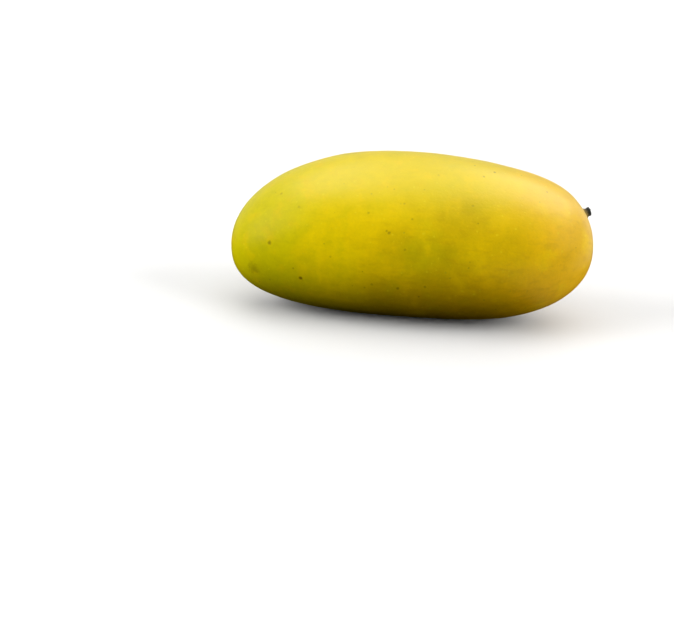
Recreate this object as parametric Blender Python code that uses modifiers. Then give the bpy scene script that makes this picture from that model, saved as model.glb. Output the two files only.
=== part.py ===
"""A whole ripe mango lying on its side, with the short woody stump of its stalk.

The fruit is one grown piece. The stump stands in a blind socket at the stalk end.
Run it with: blender --background --python part.py
Lengths are metres and +Z is up. The long axis runs along X, with the stalk at +X.
"""
from math import copysign, cos, exp, hypot, radians, sin

import bmesh
import bpy
from mathutils import Matrix, Vector

MM = 0.001

# The fruit in its own frame: X from apex to stalk, Y from cheek to cheek, Z from belly to back
FRUIT_LENGTH = 130.2 * MM
FRUIT_DEPTH = 60.1 * MM
DEPTH_OVER_THICKNESS = 1.09
FRUIT_THICKNESS = FRUIT_DEPTH / DEPTH_OVER_THICKNESS

# An end is fuller than an ellipse's where its number is above 2
APEX_FULLNESS = 2.24
STALK_END_FULLNESS = 2.53

# The cheeks are broader towards the belly than towards the back, by this share
BELLY_BREADTH = 0.05

# The long axis bends: it stands high on the apex side and drops towards the stalk
AXIS_SLOPE = -3.8 * MM
AXIS_BOW = -3.5 * MM
AXIS_RECOVERY = 4.8 * MM

# The skin swells and dips a little, as on any grown fruit
WAVE_HEIGHT = 0.22 * MM

# The stalk sits off the end, towards the back and a little to the far cheek
STALK_OFF_AXIS = radians(17.2)
STALK_OFF_BACK = radians(10.0)
SEAT_SINK = 1.6 * MM
SEAT_RADIUS = 8.4 * MM

# The style scar is a low nib on the belly side of the apex
SCAR_DIRECTION = Vector((-0.833, -0.426, -0.354)).normalized()
SCAR_HEIGHT = 0.35 * MM
SCAR_RADIUS = 2.4 * MM

# The stump, measured along its own axis from the fruit's skin
ROOT_RADIUS = 1.45 * MM
ROOT_DEPTH = 2.2 * MM
COLLAR_RADIUS = 2.15 * MM
COLLAR_HEIGHT = 0.65 * MM
NECK_RADIUS = 1.5 * MM
SHAFT_RADIUS = 1.62 * MM
STUMP_HEIGHT = 2.8 * MM
BREAK_TILT = radians(-11.0)
STUMP_STEPS = 20

# How the fruit lies
LEAN_BACK = radians(22.0)
STALK_END_UP = radians(3.4)
REST_FLAT_DEPTH = 0.55 * MM

# Neighbouring solids keep this much air between them
GAP = 0.3 * MM
MERGE_DISTANCE = 0.01 * MM

CAGE_MERIDIANS = 28
CAGE_RINGS = 32

SKIN_COLOUR = (0.66, 0.50, 0.02)
SKIN_ROUGHNESS = 0.45
WOOD_COLOUR = (0.055, 0.045, 0.035)
WOOD_ROUGHNESS = 0.85


def clear_scene():
    for thing in list(bpy.data.objects):
        bpy.data.objects.remove(thing, do_unlink=True)


def new_collection(name):
    collection = bpy.data.collections.new(name)
    bpy.context.scene.collection.children.link(collection)
    return collection


def new_object(name, mesh, collection, parent=None):
    thing = bpy.data.objects.new(name, mesh)
    collection.objects.link(thing)
    thing.parent = parent
    return thing


def mesh_from(shape, name):
    """Turn an edited shape into a mesh and let go of it."""
    mesh = bpy.data.meshes.new(name)
    shape.to_mesh(mesh)
    shape.free()
    return mesh


def make_material(name, colour, roughness):
    material = bpy.data.materials.new(name)
    material.use_nodes = True
    shader = material.node_tree.nodes["Principled BSDF"]
    shader.inputs["Base Color"].default_value = (*colour, 1.0)
    shader.inputs["Roughness"].default_value = roughness
    shader.inputs["Metallic"].default_value = 0.0
    return material


def axis_height(along):
    """Height of the fruit's middle line, for along from -1 at the apex to 1 at the stalk end."""
    return along * (AXIS_SLOPE + along * (AXIS_BOW + along * AXIS_RECOVERY))


def even_skin(direction):
    """Point of the skin, before its waves, seat and scar, in a unit direction from the middle."""
    fullness = APEX_FULLNESS if direction.x < 0 else STALK_END_FULLNESS
    along = copysign(abs(direction.x) ** (2 / fullness), direction.x)
    across = hypot(direction.y, direction.z)
    swell = across ** (2 / fullness) / across if across else 0.0
    breadth = 1 - BELLY_BREADTH * direction.z
    return Vector((
        along * FRUIT_LENGTH / 2,
        direction.y * swell * breadth * FRUIT_THICKNESS / 2,
        direction.z * swell * FRUIT_DEPTH / 2 + axis_height(along),
    ))


def even_normal(direction):
    """Outward normal of the even skin there, from two short steps along it."""
    step = 0.001
    side = direction.orthogonal().normalized()
    other = direction.cross(side)
    here = even_skin(direction)
    run_side = even_skin((direction + side * step).normalized()) - here
    run_other = even_skin((direction + other * step).normalized()) - here
    return run_side.cross(run_other).normalized()


def wave(direction):
    """Slow rise and fall of the skin, a few swells round the fruit and along it."""
    long_swell = sin(6 * direction.x + 2 * direction.z) * cos(3 * direction.y - direction.x)
    round_swell = sin(5 * direction.y + 4 * direction.z + 2 * direction.x)
    return WAVE_HEIGHT * (long_swell + 0.5 * round_swell)


def stalk_direction():
    turned_up = Matrix.Rotation(-STALK_OFF_AXIS, 3, "Y") @ Vector((1, 0, 0))
    return Matrix.Rotation(-STALK_OFF_BACK, 3, "X") @ turned_up


STALK_DIRECTION = stalk_direction()
SEAT_NORMAL = even_normal(STALK_DIRECTION)
SEAT_RIM = even_skin(STALK_DIRECTION)
SEAT_FLOOR = SEAT_RIM + SEAT_NORMAL * (wave(STALK_DIRECTION) - SEAT_SINK)
SEAT_FRAME = Matrix.Translation(SEAT_FLOOR) @ SEAT_NORMAL.to_track_quat("Z", "X").to_matrix().to_4x4()
SCAR_POINT = even_skin(SCAR_DIRECTION)


def skin_point(direction):
    """Point of the finished skin: waved, sunk round the stalk and raised at the style scar."""
    point = even_skin(direction)
    sink = SEAT_SINK * exp(-((point - SEAT_RIM).length / SEAT_RADIUS) ** 2)
    rise = SCAR_HEIGHT * exp(-((point - SCAR_POINT).length / SCAR_RADIUS) ** 2)
    return point + even_normal(direction) * (wave(direction) + rise) - SEAT_NORMAL * sink


def make_fruit(collection, parent):
    """A round cage with its poles at the stalk and across from it, drawn out to the fruit's form."""
    cage = bmesh.new()
    poles_at_stalk = STALK_DIRECTION.to_track_quat("Z", "Y").to_matrix().to_4x4()
    bmesh.ops.create_uvsphere(
        cage, u_segments=CAGE_MERIDIANS, v_segments=CAGE_RINGS, radius=1.0, matrix=poles_at_stalk
    )
    for vertex in cage.verts:
        vertex.co = skin_point(vertex.co.normalized())
    mesh = mesh_from(cage, "mango_fruit")
    mesh.shade_smooth()
    fruit = new_object("mango_fruit", mesh, collection, parent)
    soften = fruit.modifiers.new("even the cage", "SUBSURF")
    soften.levels = soften.render_levels = 1
    fruit.data.materials.append(make_material("mango skin", SKIN_COLOUR, SKIN_ROUGHNESS))
    return fruit


def stump_outline():
    """Radius and height of the stump's side, from above its break down to the end of its root."""
    top = STUMP_HEIGHT + SHAFT_RADIUS
    shoulder = STUMP_HEIGHT * 0.8
    neck = (COLLAR_HEIGHT + shoulder) / 2
    lip_radius = (COLLAR_RADIUS + NECK_RADIUS) / 2
    return [
        (0.0, top),
        (SHAFT_RADIUS, top),
        (SHAFT_RADIUS, shoulder),
        (NECK_RADIUS, neck),
        (lip_radius, COLLAR_HEIGHT * 1.5),
        (COLLAR_RADIUS, COLLAR_HEIGHT),
        (lip_radius, GAP),
        (ROOT_RADIUS, GAP),
        (ROOT_RADIUS, -ROOT_DEPTH),
        (0.0, -ROOT_DEPTH),
    ]


def make_stump(collection, parent):
    """The stump is turned from its outline, then broken off aslant by a cutter."""
    outline = bmesh.new()
    points = [outline.verts.new((radius, 0.0, height)) for radius, height in stump_outline()]
    for upper, lower in zip(points, points[1:]):
        outline.edges.new((upper, lower))
    stump = new_object("stem_stub", mesh_from(outline, "stem_stub"), collection, parent)
    stump.matrix_local = SEAT_FRAME
    turn = stump.modifiers.new("turn the outline", "SCREW")
    turn.steps = turn.render_steps = STUMP_STEPS
    turn.use_merge_vertices = True
    turn.merge_threshold = MERGE_DISTANCE
    turn.use_smooth_shade = True
    stump.data.materials.append(make_material("stalk wood", WOOD_COLOUR, WOOD_ROUGHNESS))
    return stump


def socket_shape():
    """A plain hole for the stump's root, with a gap all round and under it."""
    above = STUMP_HEIGHT
    length = above + ROOT_DEPTH + GAP
    radius = ROOT_RADIUS + GAP
    hole = bmesh.new()
    bmesh.ops.create_cone(
        hole, cap_ends=True, segments=STUMP_STEPS, radius1=radius, radius2=radius, depth=length,
        matrix=Matrix.Translation((0, 0, above - length / 2)),
    )
    return hole


def break_shape():
    """A block whose tilted underside is the broken face of the stump."""
    size = 4 * STUMP_HEIGHT
    tilt = Matrix.Rotation(BREAK_TILT, 4, "Y")
    block = bmesh.new()
    bmesh.ops.create_cube(
        block, size=size,
        matrix=Matrix.Translation((0, 0, STUMP_HEIGHT)) @ tilt @ Matrix.Translation((0, 0, size / 2)),
    )
    return block


def ground_shape():
    """A block whose top is the surface that the fruit lies on."""
    size = 2 * FRUIT_LENGTH
    block = bmesh.new()
    bmesh.ops.create_cube(block, size=size, matrix=Matrix.Translation((0, 0, -size / 2)))
    return block


def cut_away(part, name, shape, collection, parent=None, place=Matrix.Identity(4)):
    """Cut a guide solid out of a part. The guide itself is never shown."""
    cutter = new_object(name, mesh_from(shape, name), collection, parent)
    cutter.matrix_local = place
    cutter.hide_render = True
    cutter.display_type = "WIRE"
    cut = part.modifiers.new(f"cut by {name}", "BOOLEAN")
    cut.operation = "DIFFERENCE"
    cut.solver = "EXACT"
    cut.object = cutter


def lay_down(carrier, parts):
    """Move the carrier so that the parts stand over the origin, pressed a little into the surface."""
    bpy.context.view_layer.update()
    depsgraph = bpy.context.evaluated_depsgraph_get()
    points = []
    for part in parts:
        shown = part.evaluated_get(depsgraph)
        points += [shown.matrix_world @ vertex.co for vertex in shown.data.vertices]
    low = [min(point[axis] for point in points) for axis in range(3)]
    high = [max(point[axis] for point in points) for axis in range(3)]
    carrier.location = (-(low[0] + high[0]) / 2, -(low[1] + high[1]) / 2, -low[2] - REST_FLAT_DEPTH)


def main():
    clear_scene()
    parts = new_collection("mango")
    cutters = new_collection("cutters")

    carrier = new_object("resting_pose", None, parts)
    carrier.rotation_euler = (-LEAN_BACK, -STALK_END_UP, 0.0)

    fruit = make_fruit(parts, carrier)
    stump = make_stump(parts, carrier)
    cut_away(fruit, "stalk_socket", socket_shape(), cutters, carrier, SEAT_FRAME)
    cut_away(stump, "stalk_break", break_shape(), cutters, carrier, SEAT_FRAME)

    lay_down(carrier, [fruit, stump])
    cut_away(fruit, "resting_ground", ground_shape(), cutters)


main()
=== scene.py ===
# %% [markdown]
# # A ripe mango in soft studio light
# The fruit is long and smooth, green-yellow at its apex and peach-yellow at its stalk end, with a short
# dark stump of its stalk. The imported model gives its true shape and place. This script makes the finely
# shaped skin and stump that are seen, and the colours, and never moves the model itself.

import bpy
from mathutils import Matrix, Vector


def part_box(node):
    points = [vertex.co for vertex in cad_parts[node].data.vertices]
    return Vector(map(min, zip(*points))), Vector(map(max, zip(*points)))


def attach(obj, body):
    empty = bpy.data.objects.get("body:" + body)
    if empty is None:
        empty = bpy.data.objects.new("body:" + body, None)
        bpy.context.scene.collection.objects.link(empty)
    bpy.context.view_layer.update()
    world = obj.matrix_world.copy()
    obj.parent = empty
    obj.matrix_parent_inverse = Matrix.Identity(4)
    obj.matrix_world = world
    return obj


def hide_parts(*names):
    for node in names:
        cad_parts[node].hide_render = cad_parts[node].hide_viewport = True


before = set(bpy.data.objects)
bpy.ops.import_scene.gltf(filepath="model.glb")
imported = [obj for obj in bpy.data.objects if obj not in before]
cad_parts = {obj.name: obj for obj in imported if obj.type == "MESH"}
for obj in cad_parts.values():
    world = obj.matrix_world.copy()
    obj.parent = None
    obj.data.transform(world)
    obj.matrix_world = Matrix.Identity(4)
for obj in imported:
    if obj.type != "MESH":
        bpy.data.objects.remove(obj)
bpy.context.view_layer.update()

# %% [markdown]
# ## Camera
# The photograph is 674 by 630 pixels. It looks slightly down on the side of the fruit, which stands right
# of and above the middle of the frame. Shifting the lens would do that too, but a shift stays when the
# camera moves to other sides, so the camera is turned instead: it aims beside the fruit, and leans a
# little so that the long axis slopes as in the photograph.

# %% Place the camera
import math

import bpy
from mathutils import Quaternion, Vector

MM = 0.001
FRAME_PIXELS = (674, 630)
FRUIT_MIDDLE_PIXEL = (411.7, 234.2)
LENS_MM = 85.0
SENSOR_MM = 36.0
ELEVATION = math.radians(18)
CAMERA_LEAN = math.radians(3.95)
DISTANCE = 573 * MM

fruit_low, fruit_high = (Vector(corner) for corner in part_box("mango_fruit"))
fruit_middle = (fruit_low + fruit_high) / 2
pixels_per_slope = LENS_MM / SENSOR_MM * FRAME_PIXELS[0]


def sight_line(pixel):
    """Direction of a pixel of the frame, in the camera's own axes."""
    across = (pixel[0] - FRAME_PIXELS[0] / 2) / pixels_per_slope
    up = (FRAME_PIXELS[1] / 2 - pixel[1]) / pixels_per_slope
    return Vector((across, up, -1)).normalized()


sight = Vector((0, math.cos(ELEVATION), -math.sin(ELEVATION)))
lean = Quaternion((0, 0, 1), CAMERA_LEAN)
aim_beside = sight_line(FRUIT_MIDDLE_PIXEL).rotation_difference(Vector((0, 0, -1)))
camera = bpy.data.objects.new("camera", bpy.data.cameras.new("camera"))
camera.data.lens = LENS_MM
camera.data.sensor_width = SENSOR_MM
camera.data.clip_start = 0.01
camera.location = fruit_middle - sight * DISTANCE
camera.rotation_mode = "QUATERNION"
camera.rotation_quaternion = sight.to_track_quat("-Z", "Y") @ lean @ aim_beside
bpy.context.scene.collection.objects.link(camera)
bpy.context.scene.camera = camera
bpy.context.view_layer.update()
print("camera stands at", [round(value, 3) for value in camera.location])

# %% [markdown]
# ## Shader sums in Python
# The sky and each finish are worked out by shader nodes. Wired one by one they hide the sum that they
# stand for, so a small class wraps a node's output, and Python's own operators add the Math nodes: even
# 1 - mask is a node. Any other node comes from one method, which takes its type, its settings and then
# what goes into its sockets. The plain functions after it name the few sums that every finish here uses.


# %% A class for shader sums
class Field:
    """One output of a shader node: a number, vector or colour that varies over a surface."""

    def __init__(self, tree, socket):
        self.tree = tree
        self.socket = socket

    def node(self, kind, settings, inputs, output=0):
        """Add any node. Its settings are set first, then each socket is given a value or a link."""
        made = self.tree.nodes.new(kind)
        for name, value in settings.items():
            setattr(made, name, value)
        for name, value in inputs.items():
            if isinstance(value, Field):
                self.tree.links.new(value.socket, made.inputs[name])
            else:
                made.inputs[name].default_value = value
        return Field(self.tree, made.outputs[output])

    def sum(self, operation, first, second):
        return self.node("ShaderNodeMath", {"operation": operation}, {0: first, 1: second})

    def __add__(self, other):
        return self.sum("ADD", self, other)

    def __sub__(self, other):
        return self.sum("SUBTRACT", self, other)

    def __rsub__(self, other):
        return self.sum("SUBTRACT", other, self)

    def __mul__(self, other):
        return self.sum("MULTIPLY", self, other)

    def __truediv__(self, other):
        return self.sum("DIVIDE", self, other)

    __radd__ = __add__
    __rmul__ = __mul__


# %% Functions for numbers and vectors
def rise(value, low, high):
    """Runs smoothly from 0 where the value is low to 1 where it is high."""
    smoothly = {"interpolation_type": "SMOOTHSTEP"}
    return value.node("ShaderNodeMapRange", smoothly, {"Value": value, "From Min": low, "From Max": high})


def larger(first, second):
    return first.sum("MAXIMUM", first, second)


def scaled(field, factor):
    """A vector or colour, each part of it multiplied by the factor."""
    return field.node("ShaderNodeVectorMath", {"operation": "SCALE"}, {0: field, "Scale": factor})


def dot(first, second):
    return first.node("ShaderNodeVectorMath", {"operation": "DOT_PRODUCT"}, {0: first, 1: second}, "Value")


def distance(first, second):
    return first.node("ShaderNodeVectorMath", {"operation": "DISTANCE"}, {0: first, 1: second}, "Value")


def join(x, y, z):
    """The vector with these three parts."""
    return z.node("ShaderNodeCombineXYZ", {}, {0: x, 1: y, 2: z})


def split(vector):
    """The three parts of a vector."""
    parts = vector.node("ShaderNodeSeparateXYZ", {}, {0: vector})
    return [Field(vector.tree, socket) for socket in parts.socket.node.outputs]


def noise(place, size, detail=2.0, swirl=0.0):
    """Soft random patches about as wide as size, between 0 and 1 and mostly near 0.5."""
    sockets = {"Vector": place, "Scale": 1 / size, "Detail": detail, "Distortion": swirl}
    return place.node("ShaderNodeTexNoise", {}, sockets)


# %% Functions for colours and finishes
def cover(share, below, above):
    """Lay the second colour over the first, as far as the share says."""
    sockets = {0: share, 6: below, 7: above}
    for socket in (6, 7):
        if isinstance(sockets[socket], tuple):
            sockets[socket] = (*sockets[socket], 1.0)
    return share.node("ShaderNodeMix", {"data_type": "RGBA"}, sockets, output=2)


def colours_along(value, stops):
    """The colour at each value, smoothly between stops of (value, linear colour)."""
    ramp = value.node("ShaderNodeValToRGB", {}, {"Fac": value})
    elements = ramp.socket.node.color_ramp.elements
    ramp.socket.node.color_ramp.interpolation = "CARDINAL"
    while len(elements) < len(stops):
        elements.new(1.0)
    for element, (position, colour) in zip(elements, stops):
        element.position = position
        element.color = (*colour, 1.0)
    return ramp


def raised(height, depth):
    """The normal of a surface that rises by depth, in metres, where the height is 1."""
    return height.node("ShaderNodeBump", {}, {"Strength": 1.0, "Distance": depth, "Height": height})


def start_finish(name):
    """A new material, its Principled shader, and the place on the object in millimetres."""
    material = bpy.data.materials.new(name)
    material.use_nodes = True
    tree = material.node_tree
    metres = Field(tree, tree.nodes.new("ShaderNodeTexCoord").outputs["Object"])
    return material, tree.nodes["Principled BSDF"], scaled(metres, 1 / MM)


def plug(field, shader, socket):
    field.tree.links.new(field.socket, shader.inputs[socket])


# %% [markdown]
# ## Floor
# The photograph's ground is plain and white, but the fruit's belly is dim, and a white floor would send its
# light back up to it. So the floor takes light and shadow here, but the fruit neither gets light from it nor
# mirrors it. It is matt, and a little uneven so that it isn't one flat colour.

# %% Lay the floor
FLOOR_SIZE = 8.0
FLOOR_COLOURS = [(0.3, (0.64, 0.64, 0.635)), (0.7, (0.66, 0.66, 0.66))]
CLOUD_SIZE = 300.0
FLOOR_ROUGHNESS, FLOOR_SHINE = 0.8, 0.1

bpy.ops.object.select_all(action="DESELECT")
bpy.ops.mesh.primitive_plane_add(size=FLOOR_SIZE)
floor = bpy.context.object
floor.name = "floor"
floor.visible_diffuse = False
floor.visible_glossy = False

material, shader, place = start_finish("pale floor")
plug(colours_along(noise(place, size=CLOUD_SIZE), FLOOR_COLOURS), shader, "Base Color")
shader.inputs["Roughness"].default_value = FLOOR_ROUGHNESS
shader.inputs["Specular IOR Level"].default_value = FLOOR_SHINE
floor.data.materials.append(material)
print("floor is", FLOOR_SIZE, "m wide")

# %% [markdown]
# ## Lamps
# The light is soft and comes from both sides and from behind: the middle of the fruit is no brighter than
# its ends, its back has a pale sheen, and its belly is dim. One large lamp overhead would be simpler, but
# would light the middle most. So there are two broad lamps, one at each side and a little in front, and a
# weaker one behind. The fourth lights the floor alone, by light linking, so that it comes out white.

# %% Place the lamps
# Each lamp has its turn from the front to the right, its elevation, its width and its strength, and
# whether it lights the floor alone.
LAMPS = [
    (math.radians(-73), math.radians(23), math.radians(42), 3.20, False),
    (math.radians(73), math.radians(22), math.radians(42), 2.90, False),
    (math.radians(172), math.radians(14), math.radians(60), 1.20, False),
    (0, math.radians(90), math.radians(110), 2.10, True),
]

only_floor = bpy.data.collections.new("only the floor")
only_floor.objects.link(floor)
for turn, elevation, width, strength, floor_alone in LAMPS:
    lamp = bpy.data.objects.new("lamp", bpy.data.lights.new("lamp", "SUN"))
    lamp.data.angle = width
    lamp.data.energy = strength
    lamp.visible_glossy = False
    if floor_alone:
        lamp.light_linking.receiver_collection = only_floor
    level = math.cos(elevation)
    towards_lamp = Vector((math.sin(turn) * level, -math.cos(turn) * level, math.sin(elevation)))
    lamp.rotation_euler = towards_lamp.to_track_quat("Z", "Y").to_euler()
    bpy.context.scene.collection.objects.link(lamp)
print("lamps placed:", len(LAMPS))

# %% [markdown]
# ## Softboxes
# Waxy skin mirrors large pale shapes softly. The lamps are kept out of the gloss, and area lamps take their
# place there, because each can then be as bright as its reflection in the photograph: two overhead for the
# pale crown, one behind on the right and one that lies low on the right for the stalk end. They light
# nothing but the gloss. The last one also lies low, and brightens the underside of the stalk end a little.

# %% Hang the softboxes
# Each softbox has its size and place in metres, the way it faces, its watts, and whether it is for the
# gloss alone.
SOFTBOXES = [
    ((0.66, 0.92), (-0.43, 0.25, 1.03), (0, 0, -1), 4.1, True),
    ((1.16, 1.10), (0.72, 0.42, 1.03), (0, 0, -1), 15.4, True),
    ((0.50, 0.50), (0.62, 0.46, 0.26), (-0.77, -0.60, -0.2), 0.75, True),
    ((0.26, 0.42), (0.24, 0.18, 0.001), (0, 0, 1), 0.20, True),
    ((0.30, 0.30), (0.20, -0.05, 0.001), (0, 0, 1), 0.09, False),
]

for size, place, facing, watts, for_gloss in SOFTBOXES:
    softbox = bpy.data.objects.new("softbox", bpy.data.lights.new("softbox", "AREA"))
    softbox.data.shape = "RECTANGLE"
    softbox.data.size, softbox.data.size_y = size
    softbox.data.energy = watts
    softbox.location = place
    softbox.rotation_euler = Vector(facing).to_track_quat("-Z", "Y").to_euler()
    softbox.visible_diffuse = not for_gloss
    softbox.visible_glossy = for_gloss
    softbox.visible_camera = False
    bpy.context.scene.collection.objects.link(softbox)
print("softboxes hung:", len(SOFTBOXES))

# %% [markdown]
# ## Sky
# The sky glows behind the fruit and fades towards the front, which gives the pale sheen along its back. Just
# under the horizon it goes out, or it would draw a grey rim round the belly. An image of a studio would do
# this too, but would have to come from a file. The camera sees plain white, as behind the real fruit.

# %% Light the sky
GLOW_AXIS = Vector((0.20, 0.84, 0.50))
GLOW_START, GLOW_FULL = -0.3, 0.9
HORIZON_START, HORIZON_FULL = -0.25, -0.05
GLOW_STRENGTH = 0.50
SHOWN_STRENGTH = 1.0

world = bpy.data.worlds.new("studio")
world.use_nodes = True
bpy.context.scene.world = world
bpy.context.scene.view_settings.view_transform = "Standard"
tree = world.node_tree
direction = Field(tree, tree.nodes.new("ShaderNodeTexCoord").outputs["Generated"])
behind = rise(dot(direction, GLOW_AXIS), GLOW_START, GLOW_FULL)
above_ground = rise(split(direction)[2], HORIZON_START, HORIZON_FULL)
glow = behind * above_ground * GLOW_STRENGTH
seen = Field(tree, tree.nodes.new("ShaderNodeLightPath").outputs["Is Camera Ray"])
plug(glow * (1 - seen) + seen * SHOWN_STRENGTH, tree.nodes["Background"], "Strength")
tree.nodes["Background"].inputs["Color"].default_value = (1.0, 1.0, 1.0, 1.0)
print("sky has", len(tree.nodes), "nodes")

# %% [markdown]
# ## The skin's shape
# The model's fruit is made of a few thousand flat facets, and its gloss would show each of them. So a ball
# is drawn over it. The ball's poles lie at the stalk and across from it, as a fruit's own lines of growth
# run. Its points are laid on the model by Shrinkwrap, evened by Smooth, and Subdivision Surface rounds
# the skin between them. A copy of the model with its facets smoothed would have been quicker, but would
# have carried the uneven net of its triangles along. A copy is still needed as what the ball is laid on,
# with its facets joined at their corners.


# %% Copy the model's fruit and join its facets
def take(thing):
    """Make one object the only one that is selected, and the active one."""
    if bpy.context.object and bpy.context.object.mode != "OBJECT":
        bpy.ops.object.mode_set(mode="OBJECT")
    bpy.ops.object.select_all(action="DESELECT")
    thing.select_set(True)
    bpy.context.view_layer.objects.active = thing


def apply_new(thing, kind, **settings):
    """Add a modifier, set it, and apply it at once."""
    take(thing)
    modifier = thing.modifiers.new(kind.lower(), kind)
    for name, value in settings.items():
        setattr(modifier, name, value)
    bpy.ops.object.modifier_apply(modifier=modifier.name)


def count_triangles(thing):
    return sum(len(face.vertices) - 2 for face in thing.data.polygons)


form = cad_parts["mango_fruit"].copy()
form.data = form.data.copy()
bpy.context.scene.collection.objects.link(form)
take(form)
bpy.ops.object.mode_set(mode="EDIT")
bpy.ops.mesh.select_all(action="SELECT")
bpy.ops.mesh.remove_doubles(threshold=0.001 * MM)
bpy.ops.object.mode_set(mode="OBJECT")
print("the model's fruit has", count_triangles(form), "triangles")

# %% Wrap a ball round the fruit
BALL_MERIDIANS = 80
BALL_RINGS = 72
SKIN_LEVELS = 2
SEAT_PLACE = Vector((60.66, 5.11, 39.21)) * MM
SEAT_AXIS = Vector((0.8546, 0.2589, 0.4502))

half_size = (fruit_high - fruit_low) / 2
pole = Vector([part / half for part, half in zip(SEAT_PLACE - fruit_middle, half_size)])
turn_to_pole = pole.to_track_quat("Z", "Y").to_euler()
bpy.ops.object.select_all(action="DESELECT")
bpy.ops.mesh.primitive_uv_sphere_add(
    segments=BALL_MERIDIANS, ring_count=BALL_RINGS, radius=1.0, rotation=turn_to_pole
)
skin = bpy.context.object
skin.name = "mango_skin"
bpy.ops.object.transform_apply(location=False, rotation=True, scale=False)
skin.scale = half_size
skin.location = fruit_middle
bpy.ops.object.transform_apply(location=True, rotation=False, scale=True)
apply_new(skin, "SHRINKWRAP", target=form, wrap_method="NEAREST_SURFACEPOINT")
bpy.data.objects.remove(form, do_unlink=True)

seat_point = min(skin.data.vertices, key=lambda vertex: (vertex.co - SEAT_PLACE).length)
print("the ball's pole missed the seat by mm:", round(1000 * (seat_point.co - SEAT_PLACE).length, 2))
seat_point.co = SEAT_PLACE
apply_new(skin, "SMOOTH", factor=0.5, iterations=2)
apply_new(skin, "SUBSURF", levels=SKIN_LEVELS, render_levels=SKIN_LEVELS)
bpy.ops.object.shade_smooth()
print("skin has", count_triangles(skin), "triangles")

# %% [markdown]
# A real skin isn't quite even: it has broad shallow dents, and round the stalk it swells into a low ring
# with fine folds that run out from it. The points of the fine mesh are moved along their normals by a sum
# of smooth waves, because the folds have to fade out with the distance from the stalk. Displace with a
# texture would make the dents as well, but not the folds.

# %% Functions for moving points
import numpy as np


def read_points(thing, what="co"):
    """The places of an object's points, or their normals, as rows of three numbers."""
    values = np.empty(3 * len(thing.data.vertices))
    thing.data.vertices.foreach_get(what, values)
    return values.reshape(-1, 3)


def write_points(thing, points):
    thing.data.vertices.foreach_set("co", points.ravel())
    thing.data.update()


def bump(away, width):
    """Is 1 where away is 0, and falls off to both sides within about the width."""
    return np.exp(-((away / width) ** 2))


def waves(points, size, seed, count=24):
    """Smooth random unevenness between about -1 and 1, with hollows about as wide as size."""
    random = np.random.default_rng(seed)
    turns = random.normal(size=(count, 3)) * 2 / size
    starts = random.uniform(0, 2 * np.pi, count)
    return np.sin(points @ turns.T + starts).mean(axis=1) * np.sqrt(count / 2)


# %% Dent the skin and fold it round the stalk
DENT_SIZE = 17 * MM
DENT_DEPTH = 0.10 * MM
RING_RADIUS, RING_WIDTH, RING_HEIGHT = 3.3 * MM, 1.2 * MM, 0.30 * MM
FOLDS, FOLD_RADIUS, FOLD_WIDTH, FOLD_DEPTH = 13, 4.2 * MM, 1.8 * MM, 0.07 * MM
SEAT_REACH = 12 * MM
FREE_HEIGHT = 4 * MM

points = read_points(skin)
normals = read_points(skin, "normal")
from_seat = points - np.array(SEAT_PLACE)
height = from_seat @ np.array(SEAT_AXIS)
across = Vector((0, 0, 1)).cross(SEAT_AXIS).normalized()
beside = SEAT_AXIS.cross(across)
sideways, upward = from_seat @ np.array(across), from_seat @ np.array(beside)
radius = np.hypot(sideways, upward)
angle = np.arctan2(upward, sideways)
near_seat = height > -SEAT_REACH

unevenly = 1.3 * np.sin(2 * angle + 1.0) + 0.8 * np.sin(3 * angle)
folds = np.cos(FOLDS * angle + unevenly)
moved = DENT_DEPTH * waves(points, DENT_SIZE, seed=3)
moved += near_seat * RING_HEIGHT * bump(radius - RING_RADIUS, RING_WIDTH)
moved += near_seat * FOLD_DEPTH * folds * bump(radius - FOLD_RADIUS, FOLD_WIDTH)
moved *= np.clip(points[:, 2] / FREE_HEIGHT, 0, 1)
points += normals * moved[:, None]
points[:, 2] = np.maximum(points[:, 2], 0)
write_points(skin, points)
print("skin moved by mm:", round(1000 * moved.min(), 3), "to", round(1000 * moved.max(), 3))

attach(skin, "root")
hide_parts("mango_fruit")

# %% [markdown]
# ## The skin's colour
# Ripening starts at the stalk: that end is peach-yellow, the middle is golden, and the apex still has some
# green. A colour ramp along the fruit gives this change, and soft noise bends it, because on a real fruit
# no colour ends in a straight line. The crown is more lemon. The lower side near the stalk is more orange,
# partly its own colour and partly a painted warm glow of light thrown up from below. The belly is darker
# olive, which is painted shade. These three are laid over by the height. All lengths here are in
# millimetres.

# %% Colour the skin by its ripeness
APEX_X = 1000 * fruit_low.x
LENGTH = 1000 * (fruit_high.x - fruit_low.x)
RIPENESS = [  # share of the length from the apex, and colour
    (0.00, (0.66, 0.570, 0.001)),
    (0.07, (0.68, 0.585, 0.001)),
    (0.19, (0.76, 0.630, 0.001)),
    (0.33, (0.86, 0.640, 0.001)),
    (0.47, (0.83, 0.590, 0.001)),
    (0.62, (0.78, 0.550, 0.001)),
    (0.75, (0.825, 0.547, 0.001)),
    (0.86, (0.86, 0.520, 0.002)),
    (0.94, (0.79, 0.465, 0.003)),
    (1.00, (0.67, 0.400, 0.003)),
]
BEND_SIZE, BEND = 16.0, 0.14
LEMON = (0.78, 0.63, 0.004)
ORANGE = (0.84, 0.43, 0.001)
OLIVE = (0.42, 0.28, 0.001)

material, shader, place = start_finish("mango skin")
x, y, z = split(place)
along = (x - APEX_X) / LENGTH
bend = (noise(place, size=BEND_SIZE) - 0.5) * BEND
colour = colours_along(along + bend, RIPENESS)

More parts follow.
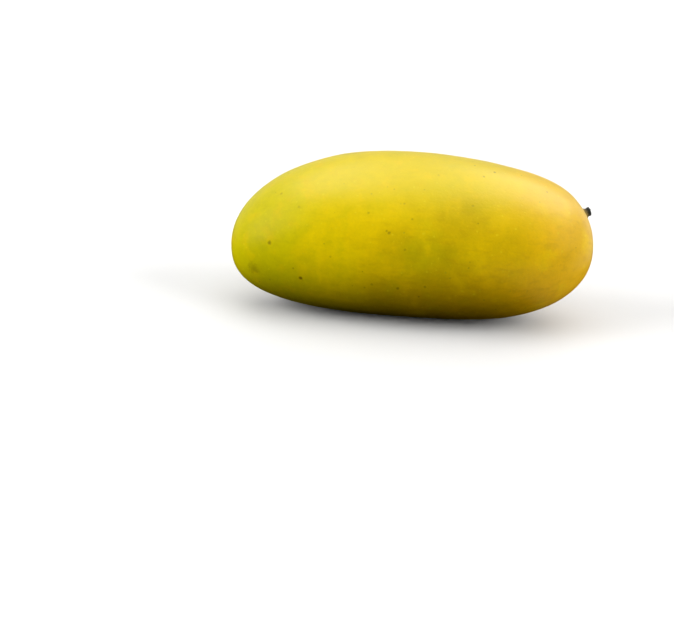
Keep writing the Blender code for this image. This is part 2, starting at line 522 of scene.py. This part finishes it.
# Each share changes between two heights in mm, and between two shares of the length.
crown = rise(z, 38, 53) * (0.6 - rise(along, 0.62, 0.82) * 0.45)
# Partly its own orange, and partly a painted warm glow thrown up from below onto the lower side near the
# stalk.
lower_orange_and_painted_glow = (1 - rise(z, 6, 33)) * rise(along, 0.25, 0.75) * 0.85
# Painted shade: the belly is laid over with a darker olive.
painted_belly_shade = (1 - rise(z, 3, 21)) * 0.42
for share, tint in ((crown, LEMON), (lower_orange_and_painted_glow, ORANGE), (painted_belly_shade, OLIVE)):
    colour = cover(share, colour, tint)
print("ripeness runs over", round(LENGTH, 1), "mm, in", len(RIPENESS), "stops")

# %% [markdown]
# ### Patches
# Here and there the skin is a little greener, more olive or more golden. Where the photograph shows such a
# patch, one is listed, because noise alone would put it elsewhere. Noise only moves its edge, so
# that it doesn't look stamped. Other green patches come from noise, and fade out towards the stalk.

# %% Lay patches on the skin
YELLOW = (0.95, 0.72, 0.001)
GOLD = (0.92, 0.64, 0.001)
GREEN = (0.52, 0.50, 0.002)
PATCHES = [  # colour, place and radius in mm, strength
    (GOLD, (-22, -26, 26), 18, 0.5),
    (YELLOW, (-29, -24, 26), 12, 0.6),
    (GREEN, (-50, -17, 14), 13, 0.2),
    (GREEN, (4, -27, 30), 10, 0.4),
    (OLIVE, (11, -27, 20), 14, 0.35),
    (OLIVE, (31, -25, 34), 9, 0.15),
    (YELLOW, (-24, -26, 24), 10, 0.55),
    (OLIVE, (-4, -27, 34), 8, 0.30),
    (OLIVE, (17, -23, 42), 12, 0.30),
    (OLIVE, (-8, -24, 13), 10, 0.32),
    (OLIVE, (28, -23, 12), 12, 0.32),
    (OLIVE, (38, -24, 35), 8, 0.15),
    (GREEN, (-53, -16, 32), 8, 0.15),
]
EDGE_WANDER = 1.2

wander = (noise(place, size=8.0, detail=3.0) - 0.5) * EDGE_WANDER
for tint, centre, size, strength in PATCHES:
    reach = distance(place, centre) / size + wander
    colour = cover((1 - rise(reach, 0.3, 1.3)) * strength, colour, tint)
unripe = 1 - rise(along, 0.3, 1.0)
green_patches = rise(noise(place, size=14.0, detail=3.0), 0.55, 0.85)
colour = cover(green_patches * unripe * 0.25, colour, GREEN)
print("patches placed:", len(PATCHES))

# %% [markdown]
# ### Mottling
# Close up, the colour varies in every size: golden and green patches a few millimetres wide, fine tan wisps,
# streaks along the lines of growth, and soft light and dark spots. All of it is noise, and what runs along
# the fruit is noise drawn out in x. The crown and the stalk end are smoother than the rest.

# %% Mottle the skin
TAN = (0.50, 0.26, 0.001)
HUE_SIZE, GOLD_STRENGTH, GREEN_STRENGTH = 7.0, 0.42, 0.22
WISP_STRETCH, WISP_SIZE, WISP_STRENGTH = 3, 2.1, 0.24
STREAK_STRETCH, STREAK_SIZE, STREAK_STRENGTH = 4, 1.6, 0.10
BLOTCH_SIZE, BLOTCH_STRENGTH = 3.2, 0.20
MOTTLE_SIZE, MOTTLE_STRENGTH = 0.8, 0.10
CALM = 0.4

hues = noise(place, size=HUE_SIZE, detail=3.0)
colour = cover(rise(hues, 0.5, 0.75) * GOLD_STRENGTH, colour, GOLD)
colour = cover((1 - rise(hues, 0.25, 0.5)) * unripe * GREEN_STRENGTH, colour, GREEN)

wisps = noise(join(x / WISP_STRETCH, y, z), size=WISP_SIZE, detail=3.0, swirl=0.5)
off_apex_and_crown = rise(along, 0.2, 0.6) * (1 - rise(z, 38, 52))
colour = cover(rise(wisps, 0.48, 0.72) * off_apex_and_crown * WISP_STRENGTH, colour, TAN)

streaks = noise(join(x / STREAK_STRETCH, y, z), size=STREAK_SIZE) - 0.5
blotches = noise(place, size=BLOTCH_SIZE, detail=3.0) - 0.5
mottle = noise(place, size=MOTTLE_SIZE) - 0.5
tone = streaks * STREAK_STRENGTH + blotches * BLOTCH_STRENGTH + mottle * MOTTLE_STRENGTH
calmer = larger(rise(z, 36, 50), rise(along, 0.8, 1.0)) * CALM
colour = scaled(colour, 1 + tone * (1 - calmer))
print("skin finish has", len(material.node_tree.nodes), "nodes so far")

# %% [markdown]
# ### Pores
# The skin breathes through lenticels, small pores that are pale at first, and a few turn brown. Modelled
# one by one they would be thousands of tiny pieces. A Voronoi texture puts one in each of its cells
# instead, and three random numbers of the cell say how large, how pale and how brown its pore is.

# %% Dot the skin with pores
PALE = (0.95, 0.84, 0.05)
BROWN = (0.17, 0.09, 0.002)
PORE_SPACING = 2.1
SMALLEST_PORE, PORE_SPREAD = 0.09, 0.12

pores = place.node("ShaderNodeTexVoronoi", {}, {"Vector": place, "Scale": 1 / PORE_SPACING})
cell_colour = Field(pores.tree, pores.socket.node.outputs["Color"])
largeness, paleness, brownness = split(cell_colour)
pore_dot = 1 - rise(pores / (largeness * PORE_SPREAD + SMALLEST_PORE), 0.4, 1.4)
colour = cover(pore_dot * rise(paleness, 0.3, 0.6) * 0.28, colour, PALE)
colour = cover(pore_dot * rise(brownness, 0.86, 0.98) * 0.45, colour, BROWN)
print("pores lie about", PORE_SPACING, "mm apart")

# %% [markdown]
# ### Specks
# Some dark specks are plain enough in the photograph to be known by their places, so they are placed one
# by one. Each has an uneven edge and a faint golden halo. They are worked out as one mask, so that the
# gloss and the relief can follow them as well.

# %% Place the specks
SPECKS = [  # place and radius in mm, strength
    ((-37.7, -22.3, 17.5), 0.80, 0.85),
    ((-49.4, -19.2, 28.7), 0.85, 0.60),
    ((-7.8, -25.4, 37.3), 0.65, 0.50),
    ((-1.9, -27.1, 32.1), 0.60, 0.30),
    ((-3.5, -26.0, 17.5), 0.65, 0.50),
    ((-12.6, -25.8, 18.3), 0.60, 0.30),
    ((5.8, -26.7, 19.0), 0.60, 0.50),
    ((27.4, -4.9, 55.5), 0.65, 0.55),
    ((23.7, -8.3, 54.6), 0.55, 0.40),
    ((20.3, -18.9, 46.9), 0.55, 0.30),
    ((-46.6, -9.8, 44.0), 0.60, 0.30),
    ((-39.7, -16.7, 41.7), 0.60, 0.25),
    ((-15.3, -22.0, 42.9), 0.55, 0.30),
    ((-3.2, -20.0, 46.4), 0.55, 0.25),
]

specks = halos = None
for centre, size, strength in SPECKS:
    uneven = distance(place, centre) + mottle * 0.5
    speck = (1 - rise(uneven, 0.35 * size, 1.2 * size)) * strength
    halo = (1 - rise(uneven, size, 2.2 * size)) * strength * 0.25
    specks = speck if specks is None else larger(specks, speck)
    halos = halo if halos is None else larger(halos, halo)
colour = cover(halos, colour, GOLD)
colour = cover(specks, colour, BROWN)
print("specks placed:", len(SPECKS))

# %% [markdown]
# ### Scar and stain
# Near the apex the skin has a small dull scar, and round the stalk dried sap has stained it. Both are soft
# round masks that noise makes uneven. They could be painted on an image instead, but an image has only so
# many pixels, and a mask of this kind stays clean from any distance.

# %% Scar the apex side and stain the stalk's seat
SCAR_PLACE = (-54.9, -16.3, 17.8)
SCAR_COLOUR = (0.24, 0.18, 0.003)
STAIN_COLOUR = (0.20, 0.15, 0.02)

from_scar = distance(place, SCAR_PLACE) + (noise(place, size=1.5) - 0.5) * 5
colour = cover((1 - rise(from_scar, 0.6, 3.4)) * 0.42, colour, SCAR_COLOUR)
from_stalk = distance(place, SEAT_PLACE / MM) + blotches * 2
colour = cover((1 - rise(from_stalk, 2.2, 4.2)) * 0.75, colour, STAIN_COLOUR)
plug(colour, shader, "Base Color")
print("skin finish has", len(material.node_tree.nodes), "nodes so far")

# %% [markdown]
# ### Gloss and relief
# Ripe skin is waxy, so its gloss is soft and a little uneven. The noises that colour the skin also vary its
# roughness and raise a very low relief, in which the pores and specks are hollows. A bump is enough for
# that, as none of it is as deep as a tenth of a millimetre.

# %% Give the skin its gloss and relief
SKIN_ROUGHNESS = 0.37
SKIN_IOR = 1.46

roughness = SKIN_ROUGHNESS + mottle * 0.10 + blotches * 0.08 + specks * 0.2
plug(roughness, shader, "Roughness")
relief = mottle * 0.05 + noise(place, size=0.35) * 0.02 - pore_dot * 0.02 - specks * 0.06
plug(raised(relief, 1 * MM), shader, "Normal")
shader.inputs["IOR"].default_value = SKIN_IOR
skin.data.materials.clear()
skin.data.materials.append(material)
print("skin finish has", len(material.node_tree.nodes), "nodes")

# %% [markdown]
# ## The stump of the stalk
# The stalk is woody and was broken off short, so it has ridged bark, a swollen collar where it left the
# fruit, a slight neck and a rough broken end. A cylinder with a noisy surface would lack the collar and the
# neck. So it is turned upright at the origin, as a disc that is pulled up once for each change of its width,
# and its end is tilted and inset.

# %% Turn the stump
STUMP_SIDES = 32
STUMP_RINGS = [  # height and radius in mm, upwards
    (-1.2, 1.50),
    (-0.3, 1.75),
    (0.25, 2.05),
    (0.65, 2.12),
    (0.95, 1.85),
    (1.35, 1.55),
    (1.7, 1.48),
    (2.1, 1.56),
    (2.5, 1.62),
    (2.75, 1.58),
]
BREAK_TILT = math.radians(11)
BREAK_INSETS = (0.5 * MM, 0.45 * MM)

(below_height, below_radius), *further = STUMP_RINGS
bpy.ops.object.select_all(action="DESELECT")
bpy.ops.mesh.primitive_circle_add(
    vertices=STUMP_SIDES, radius=below_radius * MM, fill_type="NGON", location=(0, 0, below_height * MM)
)
stump = bpy.context.object
stump.name = "stalk_stump"
bpy.ops.object.transform_apply(location=True, rotation=False, scale=False)
bpy.ops.object.mode_set(mode="EDIT")
bpy.ops.mesh.select_all(action="SELECT")
for ring_height, ring_radius in further:
    climb = (ring_height - below_height) * MM
    widen = ring_radius / below_radius
    bpy.ops.mesh.extrude_region_move(TRANSFORM_OT_translate={"value": (0, 0, climb)})
    bpy.ops.transform.resize(value=(widen, widen, 1))
    below_height, below_radius = ring_height, ring_radius
bpy.ops.transform.rotate(value=BREAK_TILT, orient_axis="Y", center_override=(0, 0, below_height * MM))
for inset in BREAK_INSETS:
    bpy.ops.mesh.inset(thickness=inset)
bpy.ops.mesh.poke()
bpy.ops.object.mode_set(mode="OBJECT")
apply_new(stump, "SUBSURF", levels=2, render_levels=2)
print("stump has", count_triangles(stump), "triangles")

# %% [markdown]
# The bark dries into uneven ridges, and the break leaves splinters round a shallow hollow. Both are made by
# moving the points in waves, as for the skin's dents, and only then is the stump set in its seat.

# %% Roughen the bark, break the end and set the stump in its seat
RIDGE_DEPTH, ROUGH_DEPTH = 0.05, 0.04  # shares of the radius
ROUGH_SIZE = 0.8 * MM
BARK_START = 0.8 * MM
BREAK_START, BREAK_HEIGHT = 2.3 * MM, 0.4 * MM
SPLINTER_SIZE, SPLINTER_HEIGHT = 0.55 * MM, 0.16 * MM
HOLLOW_WIDTH, HOLLOW_DEPTH = 0.8 * MM, 0.25 * MM

points = read_points(stump)
radius = np.hypot(points[:, 0], points[:, 1])
angle = np.arctan2(points[:, 1], points[:, 0])
broad_ridges = np.abs(np.sin(4.5 * angle + 0.6 * np.sin(2 * angle))) - 0.6
ridges = broad_ridges + 0.35 * np.sin(17 * angle + 2)
rough = waves(points, ROUGH_SIZE, seed=5)
outside = np.clip(points[:, 2] / BARK_START, 0, 1)
points[:, :2] *= (1 + outside * (RIDGE_DEPTH * ridges + ROUGH_DEPTH * rough))[:, None]
broken = np.clip((points[:, 2] - BREAK_START) / BREAK_HEIGHT, 0, 1)
splinters = waves(points * (1, 1, 0.2), SPLINTER_SIZE, seed=8)
hollow = bump(radius, HOLLOW_WIDTH)
points[:, 2] += broken * (SPLINTER_HEIGHT * splinters - HOLLOW_DEPTH * hollow)
write_points(stump, points)

stump.rotation_euler = SEAT_AXIS.to_track_quat("Z", "X").to_euler()
stump.location = SEAT_PLACE
take(stump)
bpy.ops.object.transform_apply(location=True, rotation=True, scale=False)
bpy.ops.object.shade_smooth()
print("stump stands at mm:", [round(1000 * value, 1) for value in SEAT_PLACE])

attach(stump, "root")
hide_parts("stem_stub")

# %% [markdown]
# The bark is brown with a trace of green near the collar, and near-black where it has dried. The broken end
# is a little paler, with darker fibres. So the colour changes with the height up the stalk, and fine noise
# shifts it and darkens or lightens it.

# %% Finish the stump
BARK = [  # share of the bark's height, and colour
    (0.12, (0.34, 0.23, 0.04)),
    (0.40, (0.17, 0.12, 0.035)),
    (0.64, (0.035, 0.036, 0.028)),
    (1.0, (0.055, 0.058, 0.050)),
]
BARK_HEIGHT = 3
GRAIN_SIZE = 0.35

material, shader, place = start_finish("stalk wood")
up_the_stalk = dot(place, SEAT_AXIS) - SEAT_AXIS.dot(SEAT_PLACE) / MM
grain = noise(place, size=GRAIN_SIZE, detail=3.0)
colour = colours_along(up_the_stalk / BARK_HEIGHT + (grain - 0.5) * 0.5, BARK)
plug(scaled(colour, 0.6 + grain * 0.8), shader, "Base Color")
plug(0.65 + grain * 0.3, shader, "Roughness")
plug(raised(grain, 0.12 * MM), shader, "Normal")
stump.data.materials.append(material)
print("stump finish has", len(material.node_tree.nodes), "nodes")
